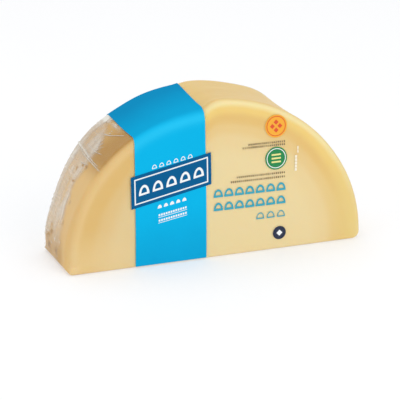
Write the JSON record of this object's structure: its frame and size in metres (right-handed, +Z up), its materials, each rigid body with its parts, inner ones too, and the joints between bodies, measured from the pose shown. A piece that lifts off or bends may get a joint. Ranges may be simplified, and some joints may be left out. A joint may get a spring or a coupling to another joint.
{
  "type": "film-wrapped half-moon of provolone cheese",
  "caption": "Half-moon slab of cheese sealed in tight clear film, standing on its cut edge, with a broad label band over front, rim and back and a sloping name panel.",
  "frame": {"origin": "middle of the bounding box of the base, which is the cut edge that the pack stands on", "axes": "+Z up, +X along the cut edge to the right as seen from the front, front face along -Y"},
  "size_m": [0.2016, 0.0608, 0.104],
  "materials": {
    "cheese": "smooth pale cheese paste, golden towards the rind, seen through clear film",
    "film": "thin clear shrink film, whitish where it is gathered",
    "band": "printed film label, satin",
    "panel": "printed film label, satin",
    "print": "flat printing ink on the film"
  },
  "bodies": {
    "root": {"sealed_cheese": "cheese", "band_label": "band", "name_panel": "panel"}
  },
  "joints": []
}
